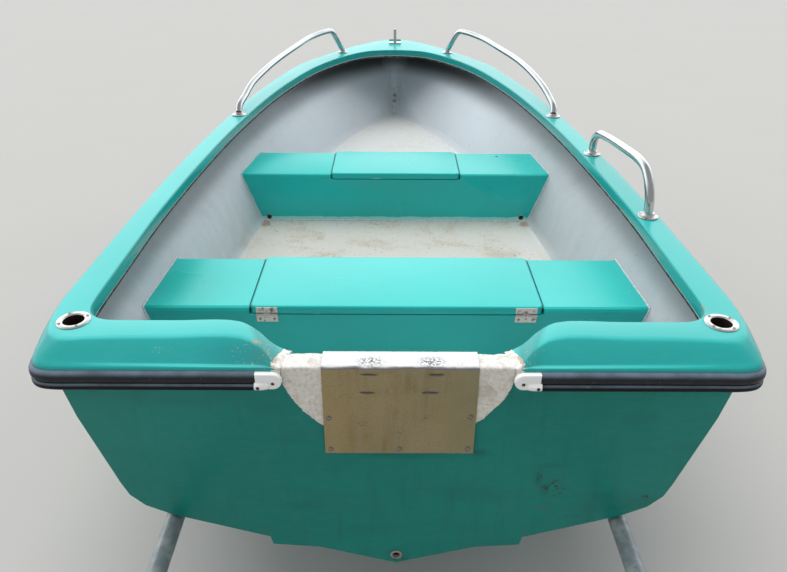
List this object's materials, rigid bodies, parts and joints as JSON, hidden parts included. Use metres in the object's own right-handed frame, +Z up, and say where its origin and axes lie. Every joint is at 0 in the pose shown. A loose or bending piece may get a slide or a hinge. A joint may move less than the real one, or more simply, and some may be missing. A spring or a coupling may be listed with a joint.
{
  "type": "open motor dinghy on a pipe cradle",
  "caption": "Small open fibreglass dinghy with hinged locker benches, deck rails, a rubber rub rail and a motor plate on its transom, standing on a steel pipe cradle.",
  "frame": {"origin": "on the floor, under the middle of the overall length and width", "axes": "+X to starboard, +Y towards the bow, +Z up"},
  "size_m": [1.452, 3.22, 0.9364],
  "materials": {
    "hull_gelcoat": "turquoise-green gelcoat, dulled and scuffed",
    "deck_gelcoat": "turquoise gelcoat, glossy",
    "bench_gelcoat": "turquoise gelcoat, satin",
    "floor_gelcoat": "grey-white floor paint with brown dirt",
    "rough_fibreglass": "rough white fibreglass",
    "rubber": "black extruded rubber",
    "white_plastic": "white moulded plastic, weathered",
    "stainless": "polished stainless steel",
    "steel_plate": "bare plate, scratched and smudged",
    "galvanised": "weathered galvanised steel"
  },
  "bodies": {
    "hull_on_cradle": {"hull_shell": "hull_gelcoat", "cockpit_sole": "floor_gelcoat", "gunwale_moulding": "deck_gelcoat", "rub_rail": "rubber", "rub_rail_cap_port": "white_plastic", "rub_rail_cap_starboard": "white_plastic", "pole_socket_port": "stainless", "pole_socket_starboard": "stainless", "bow_rail_port": "stainless", "bow_rail_starboard": "stainless", "grab_rail_starboard": "stainless", "transom_pad": "rough_fibreglass", "motor_plate": "steel_plate", "aft_bench": "bench_gelcoat", "aft_hinge_port_fixed_leaf": "stainless", "aft_hinge_starboard_fixed_leaf": "stainless", "forward_bench": "bench_gelcoat", "forward_hinge_port_fixed_leaf": "stainless", "forward_hinge_starboard_fixed_leaf": "stainless", "bow_bollard": "stainless", "bow_eye": "stainless", "stem_backing_strip": "rough_fibreglass", "cradle_pipe_port": "galvanised", "cradle_pipe_starboard": "galvanised", "cradle_leg_port_1": "galvanised", "cradle_leg_port_2": "galvanised", "cradle_leg_port_3": "galvanised", "cradle_leg_starboard_1": "galvanised", "cradle_leg_starboard_2": "galvanised", "cradle_leg_starboard_3": "galvanised", "cradle_crossbar_1": "galvanised", "cradle_crossbar_2": "galvanised", "cradle_crossbar_3": "galvanised"},
    "aft_lid": {"aft_bench_lid": "bench_gelcoat", "aft_hinge_port_lid_leaf": "stainless", "aft_hinge_starboard_lid_leaf": "stainless"},
    "forward_lid": {"forward_bench_lid": "bench_gelcoat", "forward_hinge_port_lid_leaf": "stainless", "forward_hinge_starboard_lid_leaf": "stainless"}
  },
  "joints": [
    {"name": "aft_lid_hinge", "type": "hinge", "parent": "hull_on_cradle", "child": "aft_lid", "pos_m": [0, -0.986, 0.602], "axis": [1, 0, 0], "range_deg": [0, 175]},
    {"name": "forward_lid_hinge", "type": "hinge", "parent": "hull_on_cradle", "child": "forward_lid", "pos_m": [0, 0.207, 0.602], "axis": [-1, 0, 0], "range_deg": [0, 175]}
  ]
}
